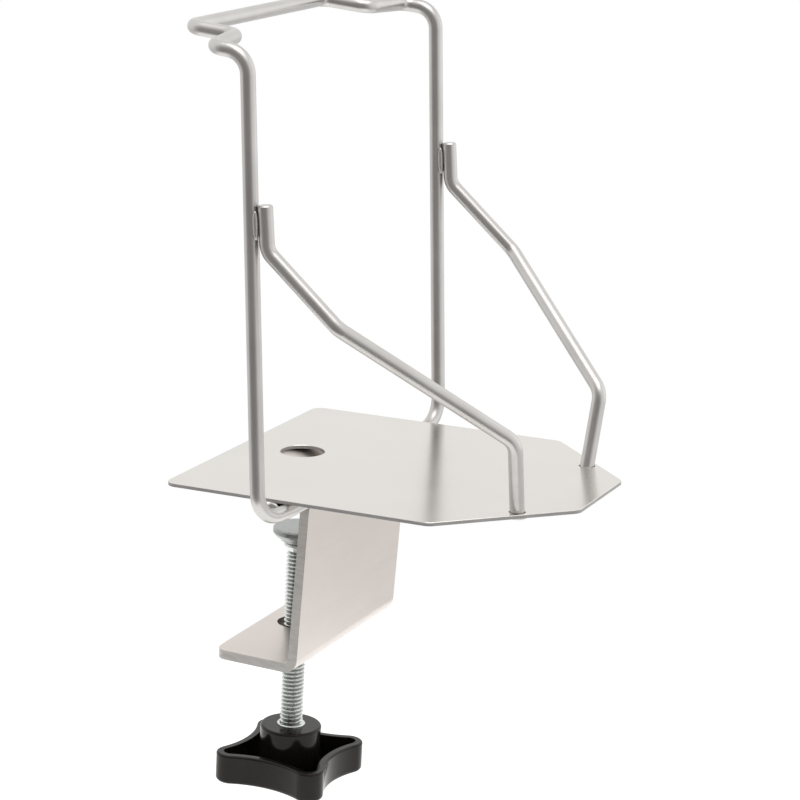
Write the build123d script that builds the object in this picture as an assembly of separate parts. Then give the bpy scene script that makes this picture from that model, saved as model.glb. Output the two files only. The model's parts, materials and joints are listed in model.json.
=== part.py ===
from build123d import *
import math
import os

# Clamp-on container holder: bent-rod back frame and two bent-rod arms on a chamfered
# seat plate, carried by a sheet C-bracket with a clamp screw, swivel pad and knob.
# Frame: +Z up along the clamp screw, -Y is the front, X across, origin at the centre of
# the plate's round hole on its top face. The holder above the bracket leans back a
# little, so its parts are drawn square and turned about the origin. All sizes in mm.

HOLDER_LEAN = 1.8
LEAN = Rot(-HOLDER_LEAN, 0, 0)
TOUCH = 0.02

# seat plate
PLATE_T = 1.2
PLATE_HALF = 55.0
PLATE_REAR = 22.4
PLATE_SIDE_FRONT = -71.3
PLATE_FRONT = -107.5
PLATE_NOSE_HALF = 19.0
PLATE_CORNER_R = 4.0
PLATE_EDGE = 0.15
HOLE_R = 7.5

# rods (3/16 in wire)
ROD_R = 2.38
LEG_X = 69.0
ROD_END_CHAMFER = 0.4
LEG_Y = -19.2
LEG_SLOPE = 0.034
TAIL_Z = -PLATE_T - ROD_R - TOUCH
TAIL_FRONT_Y = -22.1
TAIL_REAR_Y = -17.3
TAIL_END_X = 55.5
TAIL_TURN_X = 54.0
BEND_TAIL = 14.0
BEND_BOTTOM = 9.5
BEND_RIM = 4.6
BEND_LEG_TOP = 7.4
RIM = [(69.0, -14.3, 142.6), (69.0, -2.4, 143.9), (46.7, 0.9, 144.6), (46.7, 17.9, 146.2)]

# side arms
ARM = [(69.0, -20.75, 97.0), (69.0, -21.7, 82.8), (69.0, -45.9, 61.4),
       (36.9, -92.0, 24.1), (30.0, -90.7, -1.7)]
ARM_BENDS = [6.0, 7.0, 7.0]
FOOT_HOLE_R = ROD_R + 0.3
FOOT_HOLE = (30.29, -90.75)

# weld beads
WELD_OVERLAP = 0.1
TAIL_BEAD_R = 0.9
TAIL_BEAD_HALF = 5.0
TAIL_BEAD_X = (-30.0, 0.0, 30.0)
ARM_BEAD_R = 0.85
ARM_BEAD_Z = (94.5, 87.0)
FOOT_BEAD_R = 0.75
EAR_BEAD_X = 32.0
TONGUE_BEAD_X = 11.0
BRACKET_BEAD_R = 0.8
NUT_BEAD_R = 0.75
NUT_BEAD_HALF = 2.2

# clamp bracket (sheet)
SHEET = 3.2
BRACKET_HALF = 37.5
WEB_TILT = 2.4
WEB_REAR_Y0 = -18.73
WEB_TOP = -5.48
EAR_R = 2.2
BEND_INNER = 1.6
FLANGE_TOP = -61.0
FLANGE_REAR = 11.0
FLANGE_HOLE_R = 6.2
FLANGE_CORNER_R = 4.0
TONGUE_HALF = 18.0
TONGUE_SLOPE = 9.2
TONGUE_AT_HOLE = -2.7
RELIEF_W = 1.5
RELIEF_Z = -11.0

# clamp screw, nut and pad (5/16 in - 18)
SCREW_R = 3.97
SCREW_TOP = -34.7
SCREW_BOTTOM = -113.0
NUT_AF = 12.7
NUT_H = 8.8
RUN_GAP = 0.05
BALL_R = 2.3
BALL_Z = -29.5
NECK_R = 1.3
PAD_TOP = -26.5
PAD_R = 8.85
COLLAR_TOP = -32.2
COLLAR_BOTTOM = -34.6
COLLAR_R = 4.9

# knob
KNOB_TIP_R = 26.3
KNOB_LOBE_R = 5.3
KNOB_WAIST = 16.9
KNOB_TURN = -45.5
KNOB_RIM_TOP = -106.4
KNOB_BOTTOM = -117.0
KNOB_WALL = 2.5
KNOB_FLOOR = 2.6
HUB_R = 10.55
HUB_TOP = -98.2
INSERT_R = 4.85
INSERT_PROUD = 0.7


def save(shape, name):
    shape.label = name
    export_step(shape, f"parts/{name}.step")


def rod(points, bends):
    """A round rod along straight runs joined by bends of the given centre radii."""
    pieces = []
    start = Vector(*points[0])
    for i, radius in enumerate(bends):
        a, b, c = (Vector(*points[i + k]) for k in range(3))
        u, v = (a - b).normalized(), (c - b).normalized()
        half = math.acos(max(-1.0, min(1.0, u.dot(v)))) / 2
        run = radius / math.tan(half)
        centre = b + (u + v).normalized() * (radius / math.sin(half))
        mid = centre + (b - centre).normalized() * radius
        pieces.append(Line(start, b + u * run))
        pieces.append(ThreePointArc(b + u * run, mid, b + v * run))
        start = b + v * run
    pieces.append(Line(start, Vector(*points[-1])))
    wire = Wire(pieces)
    section = Plane(origin=wire @ 0, z_dir=wire % 0) * Circle(ROD_R)
    bar = sweep(section, path=wire)
    ends = [face.edges() for face in bar.faces().filter_by(GeomType.PLANE)]
    return chamfer([edge for edges in ends for edge in edges], ROD_END_CHAMFER)


def seat_plate():
    outline = Polyline(
        (-PLATE_HALF, PLATE_REAR), (PLATE_HALF, PLATE_REAR), (PLATE_HALF, PLATE_SIDE_FRONT),
        (PLATE_NOSE_HALF, PLATE_FRONT), (-PLATE_NOSE_HALF, PLATE_FRONT),
        (-PLATE_HALF, PLATE_SIDE_FRONT), close=True)
    face = make_face(outline)
    face = fillet(face.vertices(), PLATE_CORNER_R)
    face -= Circle(HOLE_R)
    for side in (-1, 1):
        face -= Pos(side * FOOT_HOLE[0], FOOT_HOLE[1]) * Circle(FOOT_HOLE_R)
    plate = extrude(face, amount=-PLATE_T)
    return LEAN * chamfer(plate.edges().group_by(Axis.Z)[-1], PLATE_EDGE)


def leg_y(z):
    """Y of a leg's centre line at height z, in the square frame."""
    return LEG_Y + LEG_SLOPE * z


def back_frame():
    """One rod: two tails side by side under the plate, two legs, and the stepped rim."""
    left = [(-x, y, z) for x, y, z in RIM]
    right = list(reversed(RIM))
    leg_foot_y = leg_y(TAIL_Z)
    points = [(TAIL_END_X, TAIL_FRONT_Y, TAIL_Z), (-TAIL_TURN_X, TAIL_FRONT_Y, TAIL_Z),
              (-LEG_X, leg_foot_y, TAIL_Z)]
    points += left + right
    points += [(LEG_X, leg_foot_y, TAIL_Z), (TAIL_TURN_X, TAIL_REAR_Y, TAIL_Z),
               (-TAIL_END_X, TAIL_REAR_Y, TAIL_Z)]
    side_bends = [BEND_TAIL, BEND_BOTTOM, BEND_LEG_TOP] + [BEND_RIM] * 3
    return LEAN * rod(points, side_bends + side_bends[::-1])


def arm(side):
    return LEAN * rod([(side * x, y, z) for x, y, z in ARM], ARM_BENDS)


def web_y(z, front=False):
    """Y of the tilted web's rear (or front) face at height z."""
    y = WEB_REAR_Y0 - math.tan(math.radians(WEB_TILT)) * z
    return y - SHEET / math.cos(math.radians(WEB_TILT)) if front else y


def tongue_z(y, under=False):
    """Z of the tongue's top face, or of its underside, at depth y."""
    z = TONGUE_AT_HOLE + math.tan(math.radians(TONGUE_SLOPE)) * y
    return z - SHEET / math.cos(math.radians(TONGUE_SLOPE)) if under else z


def web_tongue_corner(front):
    """Where a web face meets the matching tongue face, in the YZ plane."""
    low, high = -30.0, 5.0
    for _ in range(50):
        mid = (low + high) / 2
        gap = mid - tongue_z(web_y(mid, front), under=not front)
        low, high = (mid, high) if gap < 0 else (low, mid)
    return web_y(mid, front), mid


def plate_under_z(y):
    """Z of the leaning plate's underside at depth y."""
    return -PLATE_T - math.tan(math.radians(HOLDER_LEAN)) * y


def tongue_end_y():
    """Y where the rising tongue's top face reaches the plate's underside."""
    rise = -PLATE_T - TOUCH - TONGUE_AT_HOLE
    closing = math.tan(math.radians(TONGUE_SLOPE)) + math.tan(math.radians(HOLDER_LEAN))
    return rise / closing


def sheet_profile(points, radii, half_width):
    """YZ polygon with rounded bend corners, extruded both ways along X."""
    face = make_face(Polyline(*points, close=True))
    for (y, z), radius in radii:
        corner = face.vertices().sort_by_distance(Vector(y, z, 0))[0]
        face = fillet(corner, radius)
    return extrude(Plane.YZ * face, amount=half_width, both=True)


def clamp_bracket():
    outer_r = BEND_INNER + SHEET
    low_out = (web_y(FLANGE_TOP - SHEET, True), FLANGE_TOP - SHEET)
    low_in = (web_y(FLANGE_TOP), FLANGE_TOP)
    ear_front, ear_rear = (web_y(WEB_TOP, True), WEB_TOP), (web_y(WEB_TOP), WEB_TOP)
    body = sheet_profile(
        [low_out, ear_front, ear_rear, low_in, (FLANGE_REAR, FLANGE_TOP),
         (FLANGE_REAR, FLANGE_TOP - SHEET)],
        [(low_out, outer_r), (low_in, BEND_INNER)], BRACKET_HALF)
    # clear the middle of the web's top for the tongue and its side reliefs
    gap_h = 2 * (WEB_TOP - RELIEF_Z)
    gap_y = web_y(RELIEF_Z) - SHEET / 2
    gap = Box(2 * (TONGUE_HALF + RELIEF_W), 3 * SHEET, gap_h)
    body -= Pos(0, gap_y, RELIEF_Z + gap_h / 2) * gap
    top_out, top_in = web_tongue_corner(True), web_tongue_corner(False)
    end = tongue_end_y()
    lean = math.sin(math.radians(TONGUE_SLOPE)) * SHEET
    tongue = sheet_profile(
        [(web_y(RELIEF_Z, True), RELIEF_Z), top_out, (end, tongue_z(end)),
         (end + lean, tongue_z(end + lean, True)), top_in, (web_y(RELIEF_Z), RELIEF_Z)],
        [(top_out, outer_r), (top_in, BEND_INNER)], TONGUE_HALF)
    body += tongue
    body -= Pos(0, 0, FLANGE_TOP) * Cylinder(FLANGE_HOLE_R, 4 * SHEET)
    corners = [e for e in body.edges().filter_by(Axis.Z)
               if e.center().Y > FLANGE_REAR - 0.1 and abs(e.center().X) > BRACKET_HALF - 0.1]
    body = fillet(corners, FLANGE_CORNER_R)
    ears = [e for e in body.edges() if e.length < SHEET * 1.1
            and abs(abs(e.center().X) - BRACKET_HALF) < 0.1 and e.center().Z > WEB_TOP - 0.1]
    return fillet(ears, EAR_R)


def weld_nut():
    nut = extrude(RegularPolygon(NUT_AF / 2, 6, major_radius=False), amount=NUT_H)
    cone = Pos(0, 0, NUT_H / 2) * Cone(NUT_AF / 2 + 5.3, NUT_AF / 2 + 0.25, NUT_H)
    nut = Pos(0, 0, FLANGE_TOP - SHEET - TOUCH) * Rot(180, 0, 0) * (nut & cone)
    return nut - Cylinder(SCREW_R + RUN_GAP, 400)


def clamp_screw():
    body = Pos(0, 0, (SCREW_TOP + SCREW_BOTTOM) / 2) * Cylinder(SCREW_R, SCREW_TOP - SCREW_BOTTOM)
    body = chamfer(body.edges().group_by(Axis.Z)[-1], 0.7)
    neck_len = BALL_Z - SCREW_TOP + 0.5
    body += Pos(0, 0, SCREW_TOP - 0.25 + neck_len / 2) * Cylinder(NECK_R, neck_len)
    body += Pos(0, 0, BALL_Z) * Sphere(BALL_R)
    return body


def swivel_pad():
    r = PAD_R
    profile = Polyline(
        (0, PAD_TOP), (r - 0.5, PAD_TOP), (r, PAD_TOP - 0.5), (r, PAD_TOP - 1.9),
        (r - 0.45, PAD_TOP - 2.7), (r - 1.3, PAD_TOP - 3.5), (r - 2.3, PAD_TOP - 4.1),
        (r - 2.6, PAD_TOP - 4.7), (2.6, PAD_TOP - 4.7), (1.75, PAD_TOP - 4.1), (0, PAD_TOP - 3.9),
        close=True)
    pad = revolve(Plane.XZ * make_face(profile), axis=Axis.Z)
    pad -= Pos(0, 0, BALL_Z) * Sphere(BALL_R + RUN_GAP)
    return pad - Pos(0, 0, PAD_TOP - 4.2) * Cone(2.2, 1.72, 1.3)


def pad_collar():
    height = COLLAR_TOP - COLLAR_BOTTOM
    ring = Pos(0, 0, (COLLAR_TOP + COLLAR_BOTTOM) / 2) * Cylinder(COLLAR_R, height)
    ring = chamfer(ring.edges().group_by(Axis.Z)[0], 1.6, 0.6)
    ring = fillet(ring.edges().group_by(Axis.Z)[-1], 0.4)
    return ring - Cylinder(NECK_R + RUN_GAP, 200)


def knob_outline():
    """Four round lobes joined by concave flanks, as a closed face."""
    lobe = (KNOB_TIP_R - KNOB_LOBE_R) / math.sqrt(2)
    # flank circle centred on the X axis at (d, 0), tangent to the lobes, crossing at the waist
    flank = (lobe ** 2 + (lobe - KNOB_WAIST) ** 2 - KNOB_LOBE_R ** 2)
    flank /= 2 * (KNOB_LOBE_R + lobe - KNOB_WAIST)
    d = KNOB_WAIST + flank
    reach = math.hypot(d - lobe, lobe)
    tx = lobe + (d - lobe) / reach * KNOB_LOBE_R
    ty = lobe - lobe / reach * KNOB_LOBE_R
    tip = KNOB_TIP_R / math.sqrt(2)
    arcs = []
    for quarter in range(4):
        turn = Rot(0, 0, 90 * quarter)
        arcs.append(turn * ThreePointArc((tx, -ty), (KNOB_WAIST, 0), (tx, ty)))
        arcs.append(turn * ThreePointArc((tx, ty), (tip, tip), (ty, tx)))
    return make_face(arcs)


def knob_body():
    outline = knob_outline()
    height = KNOB_RIM_TOP - KNOB_BOTTOM
    shell = extrude(outline, amount=height)
    shell = fillet(shell.edges().group_by(Axis.Z)[0], 1.6)
    shell = fillet(shell.edges().group_by(Axis.Z)[-1], 0.7)
    inner = offset(outline, amount=-KNOB_WALL)
    shell -= Pos(0, 0, KNOB_FLOOR) * extrude(inner, amount=height)
    hub_h = HUB_TOP - KNOB_BOTTOM - 1.0
    hub = Pos(0, 0, 1.0 + hub_h / 2) * Cylinder(HUB_R, hub_h)
    hub = fillet(hub.edges().group_by(Axis.Z)[-1], 0.8)
    body = shell + hub
    bore_from = SCREW_BOTTOM - KNOB_BOTTOM - 0.05
    body -= Pos(0, 0, bore_from + 30) * Cylinder(INSERT_R, 60)
    # the lobes lie on the diagonals of the outline, so the diagonal is turned onto KNOB_TURN
    return Pos(0, 0, KNOB_BOTTOM) * Rot(0, 0, KNOB_TURN + 45) * body


def knob_insert():
    top = HUB_TOP + INSERT_PROUD
    bottom = SCREW_BOTTOM - 0.03
    ring = Pos(0, 0, (top + bottom) / 2) * Cylinder(INSERT_R - 0.01, top - bottom)
    ring = chamfer(ring.edges().group_by(Axis.Z)[-1], 0.3)
    return ring - Cylinder(SCREW_R + 0.01, 400)


def bead(a, b, radius):
    """A weld bead: a short round-ended bar between two points."""
    a, b = Vector(a), Vector(b)
    length = (b - a).length
    bar = Plane(origin=a, z_dir=(b - a)) * Pos(0, 0, length / 2) * Cylinder(radius, length)
    return bar + Pos(a.X, a.Y, a.Z) * Sphere(radius) + Pos(b.X, b.Y, b.Z) * Sphere(radius)


def arm_top_welds():
    """Two upright beads at each leg, either side of the line where the arm touches it."""
    beads = []
    (z0, z1), inset = ARM_BEAD_Z, ROD_R + TOUCH
    for side in (-1, 1):
        for offset_x in (-1.75, 1.75):
            x = side * LEG_X + offset_x
            beads.append(bead((x, leg_y(z0) - inset, z0), (x, leg_y(z1) - inset, z1), ARM_BEAD_R))
    return LEAN * Compound(children=beads)


def arm_foot_welds():
    """A ring of weld round each arm's foot, under the plate."""
    rings = []
    for side in (-1, 1):
        x, y, _ = ARM[-1]
        ring = Pos(side * x, y, -PLATE_T - 0.15) * Torus(ROD_R + 0.25, FOOT_BEAD_R)
        below = Pos(side * x, y, -PLATE_T - 2.5) * Box(12, 12, 5)
        rings.append(ring & below)
    return LEAN * Compound(children=rings)


def tail_welds():
    """Beads that hold the two rod tails to the underside of the plate."""
    beads = []
    z = -PLATE_T - TAIL_BEAD_R + WELD_OVERLAP
    for x in TAIL_BEAD_X:
        ends = [x - TAIL_BEAD_HALF, x + TAIL_BEAD_HALF]
        front = [(end, TAIL_FRONT_Y - ROD_R, z) for end in ends]
        rear = [(end, TAIL_REAR_Y + ROD_R, z) for end in ends]
        beads.append(bead(*front, TAIL_BEAD_R))
        if x:
            beads.append(bead(*rear, TAIL_BEAD_R))
    return LEAN * Compound(children=beads)


def bracket_welds():
    """Beads from the bracket's ears to the front tail and from the tongue's end to the plate."""
    beads = []
    y_ear, z_ear = web_y(WEB_TOP, True) - 0.5, WEB_TOP - 0.35
    y_end = tongue_end_y() + BRACKET_BEAD_R - WELD_OVERLAP
    z_end = plate_under_z(y_end) - BRACKET_BEAD_R + WELD_OVERLAP
    for x in (-EAR_BEAD_X, EAR_BEAD_X):
        beads.append(bead((x - 2.5, y_ear, z_ear), (x + 2.5, y_ear, z_ear), BRACKET_BEAD_R))
    for x in (-TONGUE_BEAD_X, TONGUE_BEAD_X):
        beads.append(bead((x - 4, y_end, z_end), (x + 4, y_end, z_end), BRACKET_BEAD_R))
    return Compound(children=beads)


def nut_welds():
    """Three short beads at the nut's flats, under the flange."""
    beads = []
    x = NUT_AF / 2 + 0.45
    z = FLANGE_TOP - SHEET - 0.55
    for k in range(3):
        turn = Rot(0, 0, 30 + 120 * k)
        ends = [(turn * Pos(x, y, z)).position for y in (-NUT_BEAD_HALF, NUT_BEAD_HALF)]
        beads.append(bead(*ends, NUT_BEAD_R))
    return Compound(children=beads)


def main():
    os.makedirs("parts", exist_ok=True)
    save(seat_plate(), "seat_plate")
    save(back_frame(), "back_frame")
    save(arm(-1), "left_arm")
    save(arm(1), "right_arm")
    save(clamp_bracket(), "clamp_bracket")
    save(weld_nut(), "weld_nut")
    save(clamp_screw(), "clamp_screw")
    save(swivel_pad(), "swivel_pad")
    save(pad_collar(), "pad_collar")
    save(knob_body(), "knob_body")
    save(knob_insert(), "knob_insert")
    save(arm_top_welds(), "arm_top_welds")
    save(arm_foot_welds(), "arm_foot_welds")
    save(tail_welds(), "tail_welds")
    save(bracket_welds(), "bracket_welds")
    save(nut_welds(), "nut_welds")


main()
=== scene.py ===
"""Clamp-on container holder: finishes, threaded screw, weld beads, studio and camera."""
import json
import math

import bmesh
import bpy
from mathutils import Matrix, Vector


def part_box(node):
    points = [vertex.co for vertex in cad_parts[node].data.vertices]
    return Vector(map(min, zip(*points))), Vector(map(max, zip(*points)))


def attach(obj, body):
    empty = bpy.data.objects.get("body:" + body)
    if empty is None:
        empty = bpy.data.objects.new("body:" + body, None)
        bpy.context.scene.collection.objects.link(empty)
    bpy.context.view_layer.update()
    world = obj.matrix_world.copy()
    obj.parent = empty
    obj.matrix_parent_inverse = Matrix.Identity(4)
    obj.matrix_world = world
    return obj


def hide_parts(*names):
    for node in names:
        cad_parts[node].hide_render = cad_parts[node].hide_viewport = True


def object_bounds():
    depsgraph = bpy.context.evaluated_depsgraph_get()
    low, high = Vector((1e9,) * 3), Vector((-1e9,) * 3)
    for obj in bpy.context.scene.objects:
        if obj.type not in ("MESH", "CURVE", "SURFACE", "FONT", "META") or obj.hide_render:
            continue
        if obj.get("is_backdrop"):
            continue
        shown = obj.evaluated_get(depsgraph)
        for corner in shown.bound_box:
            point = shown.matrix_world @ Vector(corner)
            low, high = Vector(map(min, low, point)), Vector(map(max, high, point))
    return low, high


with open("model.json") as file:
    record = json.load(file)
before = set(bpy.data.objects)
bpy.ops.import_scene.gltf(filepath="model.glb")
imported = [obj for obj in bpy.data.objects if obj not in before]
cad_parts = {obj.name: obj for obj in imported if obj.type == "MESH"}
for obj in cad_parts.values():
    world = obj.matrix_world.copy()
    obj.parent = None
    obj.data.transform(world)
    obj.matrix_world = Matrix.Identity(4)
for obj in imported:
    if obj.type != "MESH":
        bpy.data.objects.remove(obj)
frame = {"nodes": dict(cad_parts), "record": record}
cad_low, cad_high = (tuple(corner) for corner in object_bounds())
nodes = frame["nodes"]
MM = 0.001

# clamp screw thread (5/16 in - 18), in metres
PITCH = 1.411 * MM
CREST_R = 3.96 * MM
ROOT_R = 3.12 * MM
CREST_FLAT, ROOT_START = 0.14, 0.74
ROOT_SHADE_DEPTH = 0.55 * MM
THREAD_AROUND, THREAD_ROWS_PER_PITCH = 72, 12
POINT_TAPER = 0.8 * MM
POINT_INSET = 0.2 * MM
NECK_R = 1.3 * MM
SHOULDER_R = 2.4 * MM
BALL_R = 2.3 * MM
BALL_ROWS = 12
SCREW_SHARP_ANGLE = math.radians(50)

# weld beads, in metres
BEAD_AROUND, BEAD_ROWS = 20, 44
RIPPLE_PITCH = 0.9 * MM
RIPPLE_DEPTH = 0.07
RIPPLE_LAG = 0.25 * MM
LEAST_R = 0.01 * MM

# camera: set square to the holder, then leaned back with it on the clamp
LEAN = Matrix.Rotation(math.radians(-1.8), 3, "X")
AIM = LEAN @ Vector((25.46, -24.0, 15.07)) * MM
AZIMUTH, ELEVATION, ROLL = math.radians(-65.46), math.radians(14.48), math.radians(1.256)
DISTANCE = 951.8 * MM
LENS = 126.06

# studio: where the tent's dark opening is centred, and the white table under the part
OPENING_AZIMUTH = math.radians(-86.0)
OPENING_DIP = -0.1
TENT_WHITE = (1.0, 0.995, 0.985, 1)
TENT_OPENING = (0.31, 0.30, 0.30, 1)
FLOOR_DROP = 0.09
FLOOR_HALF = 0.32


# ---------------------------------------------------------------- materials

# how dark the striations of a sheared edge are, against the edge's own colour
CUT_SHADE = 0.6


class Finish:
    """A node material built step by step around one Principled shader."""

    def __init__(self, name):
        self.mat = bpy.data.materials.new(name)
        self.mat.use_nodes = True
        self.tree = self.mat.node_tree
        self.shader = self.tree.nodes["Principled BSDF"]
        self.coords = self.tree.nodes.new("ShaderNodeTexCoord").outputs["Object"]

    def node(self, kind, **inputs):
        made = self.tree.nodes.new(kind)
        for key, value in inputs.items():
            socket = made.inputs[int(key[1:]) if key[0] == "i" and key[1:].isdigit() else key]
            if isinstance(value, bpy.types.NodeSocket):
                self.tree.links.new(value, socket)
            else:
                socket.default_value = value
        return made

    def link(self, value, name):
        self.tree.links.new(value, self.shader.inputs[name])

    def constant(self, **values):
        for name, value in values.items():
            self.shader.inputs[name.replace("_", " ")].default_value = value

    def stretch(self, scale, turn=(0, 0, 0)):
        mapping = self.node("ShaderNodeMapping", Vector=self.coords)
        mapping.inputs["Scale"].default_value = scale
        mapping.inputs["Rotation"].default_value = turn
        return mapping.outputs["Vector"]

    def noise(self, scale, detail=3.0, rough=0.55, vector=None, distort=0.0):
        return self.node("ShaderNodeTexNoise", Vector=vector or self.coords, Scale=scale, Detail=detail,
                         Roughness=rough, Distortion=distort).outputs["Fac"]

    def ramp(self, fac, low, high, out_low, out_high):
        return self.node("ShaderNodeMapRange", i0=fac, i1=low, i2=high, i3=out_low,
                         i4=out_high).outputs["Result"]

    def blend(self, fac, a, b):
        mix = self.tree.nodes.new("ShaderNodeMix")
        mix.data_type = "RGBA"
        for index, value in ((0, fac), (6, a), (7, b)):
            if isinstance(value, bpy.types.NodeSocket):
                self.tree.links.new(value, mix.inputs[index])
            else:
                mix.inputs[index].default_value = value if index == 0 else (*value, 1.0)
        return mix.outputs[2]

    def math(self, operation, a, b=0.0):
        step = self.tree.nodes.new("ShaderNodeMath")
        step.operation = operation
        for index, value in enumerate((a, b)):
            if isinstance(value, bpy.types.NodeSocket):
                self.tree.links.new(value, step.inputs[index])
            else:
                step.inputs[index].default_value = value
        return step.outputs[0]

    def bump(self, height, distance, strength=1.0, under=None):
        made = self.node("ShaderNodeBump", Strength=strength, Distance=distance, Height=height)
        if under is not None:
            self.tree.links.new(under, made.inputs["Normal"])
        return made.outputs["Normal"]

    def facing(self, axis):
        """How squarely the surface faces along one axis, 0 to 1."""
        normal = self.tree.nodes.new("ShaderNodeTexCoord").outputs["Normal"]
        parts = self.node("ShaderNodeSeparateXYZ", Vector=normal).outputs[axis]
        return self.math("ABSOLUTE", parts)


def sheet_finish(name, light, dark, edge, grain_scale, rough, relief, flat_sheet):
    """Satin sheet steel: directional polishing grain, faint handling marks, sheared edges.

    A flat sheet's edges are all its faces that don't face up or down, and the bracket's face X.
    """
    f = Finish(name)
    grain = f.noise(1.0, 4.0, 0.6, f.stretch(grain_scale))
    cloud = f.noise(38.0, 3.0, 0.5)
    marks = f.noise(260.0, 2.0, 0.7, f.stretch((1.0, 3.5, 1.0), (0, 0, 0.6)))
    tone = f.math("ADD", f.math("MULTIPLY", grain, 0.45), f.math("MULTIPLY", cloud, 0.55))
    face = f.blend(f.ramp(tone, 0.35, 0.65, 0.0, 1.0), dark, light)
    if flat_sheet:
        cut = f.ramp(f.facing("Z"), 0.15, 0.5, 1.0, 0.0)
    else:
        cut = f.ramp(f.facing("X"), 0.72, 0.92, 0.0, 1.0)
    striations = f.noise(1.0, 2.0, 0.5, f.stretch((220.0, 220.0, 1000.0), (0.35, 0, 0)))
    sheared = f.blend(striations, edge, [CUT_SHADE * part for part in edge])
    f.link(f.blend(cut, face, sheared), "Base Color")
    satin = f.ramp(f.math("ADD", f.math("MULTIPLY", grain, 0.6), f.math("MULTIPLY", marks, 0.4)),
                   0.3, 0.7, *rough)
    f.link(f.math("ADD", satin, f.math("MULTIPLY", cut, 0.16)), "Roughness")
    fine = f.bump(grain, 0.00001, relief)
    f.link(f.bump(f.math("MULTIPLY", striations, cut), 0.00006, 0.8, fine), "Normal")
    f.link(f.ramp(cut, 0.0, 1.0, 1.0, 0.15), "Metallic")
    return f.mat


def rod_finish(name):
    """Polished drawn rod: fine pitting, slow tone drift and a few brighter rubbed patches."""
    f = Finish(name)
    drift = f.noise(55.0, 3.0, 0.5)
    pits = f.noise(1900.0, 3.0, 0.7)
    rubs = f.noise(160.0, 4.0, 0.6, f.stretch((1.0, 1.0, 0.35)), 0.4)
    steel = f.blend(f.ramp(drift, 0.3, 0.7, 0.0, 1.0), (0.55, 0.535, 0.52), (0.62, 0.605, 0.59))
    f.link(steel, "Base Color")
    rough = f.math("ADD", f.ramp(rubs, 0.3, 0.7, 0.25, 0.33), f.math("MULTIPLY", pits, 0.04))
    f.link(rough, "Roughness")
    f.link(f.bump(pits, 0.00001, 0.35, f.bump(rubs, 0.00008, 0.12)), "Normal")
    f.constant(Metallic=1.0)
    return f.mat


def zinc_finish(name, tone):
    """Zinc plate: cool metal with a thin mottled passivation tint, bright at a tone of 1."""
    f = Finish(name)
    mottle = f.noise(420.0, 4.0, 0.6, None, 0.8)
    tint = f.noise(130.0, 2.0, 0.5)
    dull, light, warm = ([tone * part for part in colour] for colour in (
        (0.65, 0.69, 0.675), (0.79, 0.82, 0.81), (0.70, 0.68, 0.59)))
    cool = f.blend(f.ramp(mottle, 0.35, 0.65, 0.0, 1.0), dull, light)
    plate = f.blend(f.ramp(tint, 0.5, 0.75, 0.0, 0.35), cool, warm)
    radius = f.tree.nodes.new("ShaderNodeVectorMath")
    radius.operation = "LENGTH"
    f.tree.links.new(f.stretch((1.0, 1.0, 0.0)), radius.inputs[0])
    # painted shade: the thread roots, out to ROOT_SHADE_DEPTH above the root radius, are painted dark
    # grey on all but the end faces
    inside = f.ramp(radius.outputs["Value"], ROOT_R, ROOT_R + ROOT_SHADE_DEPTH, 1.0, 0.0)
    root_painted_shade = f.math("MULTIPLY", inside, f.ramp(f.facing("Z"), 0.92, 0.98, 1.0, 0.0))
    f.link(f.blend(root_painted_shade, plate, (0.24, 0.245, 0.24)), "Base Color")
    f.link(f.ramp(mottle, 0.3, 0.7, 0.17, 0.30), "Roughness")
    f.link(f.bump(mottle, 0.00002, 0.3), "Normal")
    f.constant(Metallic=1.0)
    return f.mat


def weld_finish(name):
    """Brushed weld metal: slightly duller and warmer than the rod, with a faint heat tint."""
    f = Finish(name)
    grain = f.noise(900.0, 4.0, 0.7)
    heat = f.noise(240.0, 2.0, 0.5)
    steel = f.blend(grain, (0.52, 0.505, 0.49), (0.62, 0.605, 0.59))
    f.link(f.blend(f.ramp(heat, 0.52, 0.72, 0.0, 0.5), steel, (0.54, 0.505, 0.46)), "Base Color")
    f.link(f.ramp(grain, 0.3, 0.7, 0.28, 0.46), "Roughness")
    f.link(f.bump(grain, 0.00004, 0.5), "Normal")
    f.constant(Metallic=1.0)
    return f.mat


def knob_finish(name):
    """Glossy black moulded plastic: faint orange peel, light scuffs and dust that dull the gloss."""
    f = Finish(name)
    peel = f.noise(240.0, 2.0, 0.4)
    scuff = f.noise(700.0, 5.0, 0.75, f.stretch((1.0, 0.25, 1.0), (0, 0, 0.9)))
    dust = f.noise(90.0, 3.0, 0.6)
    dusted = f.ramp(dust, 0.4, 0.75, 0.0, 1.0)
    f.link(f.blend(dusted, (0.0085, 0.0070, 0.0064), (0.0140, 0.0118, 0.0105)), "Base Color")
    gloss = f.ramp(scuff, 0.45, 0.8, 0.07, 0.20)
    f.link(f.math("ADD", gloss, f.math("MULTIPLY", dust, 0.05)), "Roughness")
    f.link(f.bump(peel, 0.00006, 0.22, f.bump(scuff, 0.000004, 0.3)), "Normal")
    f.constant(IOR=1.32, Metallic=0.0)
    return f.mat


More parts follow.
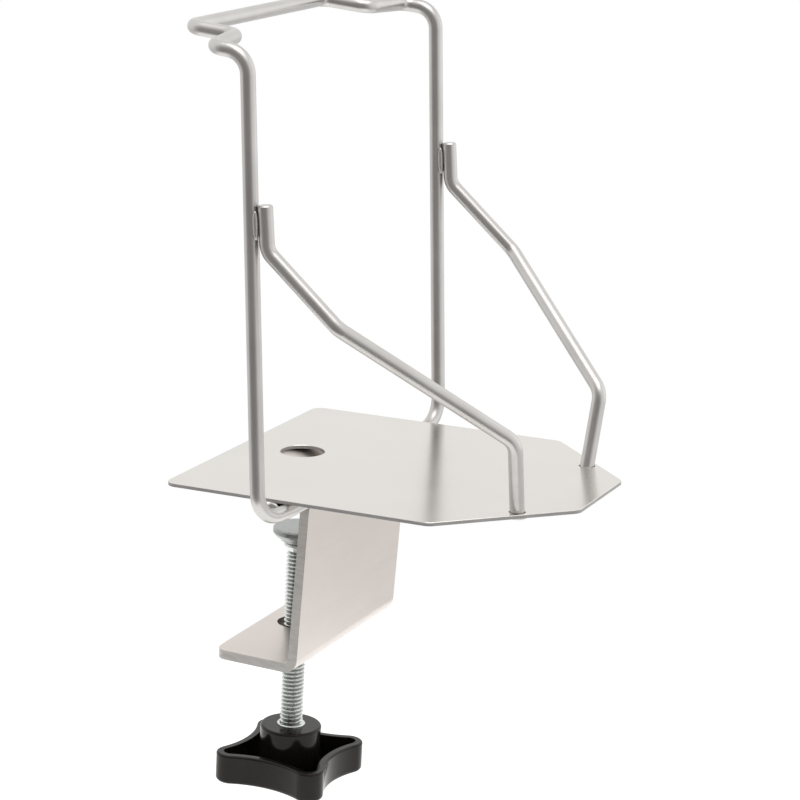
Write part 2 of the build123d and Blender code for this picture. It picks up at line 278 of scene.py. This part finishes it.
FINISHES = {
    "sheet_steel": sheet_finish("sheet_steel_satin", (0.73, 0.705, 0.672), (0.705, 0.68, 0.647),
                                (0.46, 0.45, 0.44), (900.0, 26.0, 26.0), (0.17, 0.22), 0.03, True),
    "bracket_steel": sheet_finish("bracket_steel_satin", (0.72, 0.665, 0.625), (0.68, 0.625, 0.59),
                                  (0.66, 0.64, 0.61), (26.0, 60.0, 900.0), (0.27, 0.37), 0.12, False),
    "rod_steel": rod_finish("rod_steel_polished"),
    "zinc_steel": zinc_finish("zinc_plate_bright", 1.0),
    # the pad's zinc at tone 0.52 is a shaded copy of the zinc: painted shade standing for the plate's
    # dark underside reflected in the pad
    "pad_steel": zinc_finish("zinc_plate_painted_shade", 0.52),
    "weld_steel": weld_finish("weld_steel_brushed"),
    "knob_plastic": knob_finish("knob_plastic_black"),
}
SLOT_OF = {entry["node"]: entry["material_slot"] for entry in frame["record"]["subparts"]}


def paint(obj, slot_name):
    finish = FINISHES[slot_name]
    if not obj.material_slots:
        obj.data.materials.append(finish)
    for material_slot in obj.material_slots:
        material_slot.material = finish


def new_piece(name, bm, slot_name, body, *stands_for):
    """A finished mesh piece on a CAD body, standing for its CAD nodes."""
    mesh = bpy.data.meshes.new(name)
    bm.normal_update()
    bm.to_mesh(mesh)
    bm.free()
    mesh.shade_smooth()
    obj = bpy.data.objects.new(name, mesh)
    bpy.context.collection.objects.link(obj)
    paint(obj, slot_name)
    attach(obj, body)
    if stands_for:
        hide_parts(*stands_for)
    return obj


# ---------------------------------------------------------------- threaded screw

def thread_radius(phase):
    """Radius of a 60 degree thread at a phase from 0 to 1 of one pitch, crest at 0."""
    away = abs(phase - round(phase)) * 2
    flank = min(1.0, max(0.0, (away - CREST_FLAT) / (ROOT_START - CREST_FLAT)))
    return CREST_R + (ROOT_R - CREST_R) * flank


def skin(bm, rings):
    """Close a stack of equal rings of vertices into a solid surface."""
    around = len(rings[0])
    for lower, upper in zip(rings, rings[1:]):
        for s in range(around):
            t = (s + 1) % around
            bm.faces.new((lower[s], lower[t], upper[t], upper[s]))
    bm.faces.new(list(reversed(rings[0])))
    bm.faces.new(rings[-1])


def thread_ring(bm, z, top):
    """One ring of the thread, tapered in towards the screw's top end."""
    taper = min(1.0, (top - z) / POINT_TAPER)
    limit = ROOT_R - POINT_INSET + (CREST_R - ROOT_R + POINT_INSET) * taper
    ring = []
    for step in range(THREAD_AROUND):
        angle = 2 * math.pi * step / THREAD_AROUND
        r = min(limit, thread_radius((z / PITCH - step / THREAD_AROUND) % 1.0))
        ring.append(bm.verts.new((r * math.cos(angle), r * math.sin(angle), z)))
    return ring


def round_ring(bm, r, z):
    turns = [2 * math.pi * step / THREAD_AROUND for step in range(THREAD_AROUND)]
    return [bm.verts.new((r * math.cos(turn), r * math.sin(turn), z)) for turn in turns]


def threaded_screw():
    """The clamp screw with its helical thread, neck and ball."""
    low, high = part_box("clamp_screw")
    ball_z = high[2] - BALL_R
    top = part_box("pad_collar")[0][2] - 0.1 * MM
    bottom = low[2]
    rows = int((top - bottom) / PITCH * THREAD_ROWS_PER_PITCH)
    bm = bmesh.new()
    rings = [thread_ring(bm, bottom + (top - bottom) * row / rows, top) for row in range(rows + 1)]
    rings.append(round_ring(bm, SHOULDER_R, top + 0.02 * MM))
    rings.append(round_ring(bm, NECK_R, top + 0.06 * MM))
    start = math.asin(NECK_R / BALL_R)
    for step in range(BALL_ROWS + 1):
        polar = start + (math.pi - start) * step / BALL_ROWS
        r = max(BALL_R * math.sin(polar), 2 * LEAST_R)
        rings.append(round_ring(bm, r, ball_z - BALL_R * math.cos(polar)))
    skin(bm, rings)
    screw = new_piece("threaded_screw", bm, "zinc_steel", "screw", "clamp_screw")
    screw.data.set_sharp_from_angle(angle=SCREW_SHARP_ANGLE)


# ---------------------------------------------------------------- weld beads

def rippled_bead(bm, a, b, radius):
    """A weld bead from a to b with the stacked ripples of a hand-run bead."""
    a, b = Vector(a), Vector(b)
    along = b - a
    length = along.length + 2 * radius
    turn = along.to_track_quat("Z", "Y").to_matrix()
    rings = []
    for row in range(BEAD_ROWS + 1):
        t = row / BEAD_ROWS
        z = (t - 0.5) * length
        end = math.sqrt(max(0.0, 1 - abs(2 * t - 1) ** 3.2))
        ripple = 1 - RIPPLE_DEPTH * abs(math.sin(math.pi * length * t / RIPPLE_PITCH))
        r = max(radius * end * ripple, LEAST_R)
        ring = []
        for step in range(BEAD_AROUND):
            angle = 2 * math.pi * step / BEAD_AROUND
            lag = RIPPLE_LAG * math.cos(angle)
            point = Vector((r * math.cos(angle), r * math.sin(angle), z + lag * end))
            ring.append(bm.verts.new(turn @ point + (a + b) / 2))
        rings.append(ring)
    skin(bm, rings)


def islands(obj):
    """The separate solids of a CAD node, as lists of points."""
    bm = bmesh.new()
    bm.from_mesh(obj.data)
    bmesh.ops.remove_doubles(bm, verts=bm.verts, dist=1e-6)
    seen, groups = set(), []
    for seed in bm.verts:
        if seed in seen:
            continue
        stack, group = [seed], []
        seen.add(seed)
        while stack:
            vert = stack.pop()
            group.append(vert.co.copy())
            for edge in vert.link_edges:
                other = edge.other_vert(vert)
                if other not in seen:
                    seen.add(other)
                    stack.append(other)
        groups.append(group)
    bm.free()
    return groups


def bead_axis(points):
    """The two end-cap centres and the radius of a round-ended bar given by its surface points."""
    first = points[0]
    far = max(points, key=lambda p: (p - first).length)
    near = max(points, key=lambda p: (p - far).length)
    along = (near - far).normalized()
    centre = (far + near) / 2
    radius = max(((p - centre) - (p - centre).dot(along) * along).length for p in points)
    return far + along * radius, near - along * radius, radius


def bar_beads(node):
    """Rippled beads in place of a node's plain ones."""
    bm = bmesh.new()
    for points in islands(nodes[node]):
        rippled_bead(bm, *bead_axis(points))
    new_piece(node + "_rippled", bm, "weld_steel", "frame", node)


# ---------------------------------------------------------------- studio

def area_light(name, place, size, power):
    data = bpy.data.lights.new(name, "AREA")
    data.shape, data.size, data.size_y = "RECTANGLE", *size
    data.energy = power
    lamp = bpy.data.objects.new(name, data)
    lamp.location = place
    lamp.rotation_euler = (AIM - Vector(place)).to_track_quat("-Z", "Y").to_euler()
    bpy.context.collection.objects.link(lamp)


def camera_back():
    """Unit vector from the aim point towards the camera."""
    return LEAN @ Vector((math.sin(AZIMUTH) * math.cos(ELEVATION),
                          -math.cos(AZIMUTH) * math.cos(ELEVATION), math.sin(ELEVATION)))


def world_ramp(tree, value, low, high, out_low, out_high, shape="LINEAR"):
    """A Map Range node of the world's tree, clamped at both ends."""
    made = tree.nodes.new("ShaderNodeMapRange")
    made.interpolation_type = shape
    tree.links.new(value, made.inputs[0])
    for index, number in enumerate((low, high, out_low, out_high), start=1):
        made.inputs[index].default_value = number
    return made.outputs["Result"]


def world_blend(tree, fac, a, b):
    """A colour Mix node of the world's tree, from a to the constant b."""
    made = tree.nodes.new("ShaderNodeMix")
    made.data_type = "RGBA"
    tree.links.new(fac, made.inputs[0])
    if isinstance(a, bpy.types.NodeSocket):
        tree.links.new(a, made.inputs[6])
    else:
        made.inputs[6].default_value = a
    made.inputs[7].default_value = b
    return made.outputs[2]


def studio_world():
    """White tent with a dark opening near the camera's side, and plain white as a backdrop."""
    world = bpy.data.worlds.new("white_tent")
    world.use_nodes = True
    bpy.context.scene.world = world
    tree = world.node_tree
    direction = tree.nodes.new("ShaderNodeTexCoord").outputs["Generated"]
    aim = tree.nodes.new("ShaderNodeVectorMath")
    aim.operation = "DOT_PRODUCT"
    tree.links.new(direction, aim.inputs[0])
    aim.inputs[1].default_value = (math.sin(OPENING_AZIMUTH), -math.cos(OPENING_AZIMUTH), OPENING_DIP)
    opening = world_ramp(tree, aim.outputs["Value"], 0.22, 0.90, 0.0, 1.0, "SMOOTHSTEP")
    tent = world_blend(tree, opening, TENT_WHITE, TENT_OPENING)

    # the tent falls off towards the table
    parts = tree.nodes.new("ShaderNodeSeparateXYZ")
    tree.links.new(direction, parts.inputs[0])
    shade = tree.nodes.new("ShaderNodeVectorMath")
    shade.operation = "SCALE"
    tree.links.new(tent, shade.inputs[0])
    tree.links.new(world_ramp(tree, parts.outputs["Z"], -0.6, 0.05, 0.72, 1.0), shade.inputs["Scale"])

    seen = tree.nodes.new("ShaderNodeLightPath").outputs["Is Camera Ray"]
    backdrop = world_blend(tree, seen, shade.outputs[0], (1, 1, 1, 1))
    tree.links.new(backdrop, tree.nodes["Background"].inputs["Color"])
    tree.nodes["Background"].inputs["Strength"].default_value = 1.0


def studio_floor():
    """A lit white table under the part."""
    depth = cad_low[2] - FLOOR_DROP
    bm = bmesh.new()
    bmesh.ops.create_grid(bm, x_segments=8, y_segments=8, size=FLOOR_HALF,
                          matrix=Matrix.Translation((0, 0, depth)))
    mesh = bpy.data.meshes.new("floor")
    bm.to_mesh(mesh)
    bm.free()
    floor = bpy.data.objects.new("floor", mesh)
    bpy.context.collection.objects.link(floor)
    f = Finish("floor_paper")
    f.link(f.blend(f.noise(3.0), (0.93, 0.93, 0.925), (0.95, 0.95, 0.945)), "Base Color")
    f.constant(Roughness=0.9, Emission_Color=(1, 1, 1, 1), Emission_Strength=0.25)
    mesh.materials.append(f.mat)
    floor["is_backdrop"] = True


def picture_camera():
    data = bpy.data.cameras.new("camera")
    data.lens, data.sensor_width = LENS, 36.0
    camera = bpy.data.objects.new("camera", data)
    bpy.context.collection.objects.link(camera)
    camera.location = AIM + camera_back() * DISTANCE
    look = (LEAN.inverted() @ -camera_back()).to_track_quat("-Z", "Y").to_matrix()
    camera.rotation_euler = (LEAN @ look @ Matrix.Rotation(ROLL, 3, "Z")).to_euler()
    bpy.context.scene.camera = camera


for node_name, node_object in nodes.items():
    paint(node_object, SLOT_OF[node_name])
threaded_screw()
for bead_node in ("arm_top_welds", "tail_welds", "bracket_welds", "nut_welds"):
    bar_beads(bead_node)
studio_world()
studio_floor()
area_light("key_top", (-0.25, -0.2, 1.3), (1.1, 1.1), 5.0)
area_light("side_fill", (0.9, -0.9, 0.35), (1.2, 1.2), 1.2)
picture_camera()
bpy.context.scene.view_settings.view_transform = "Standard"
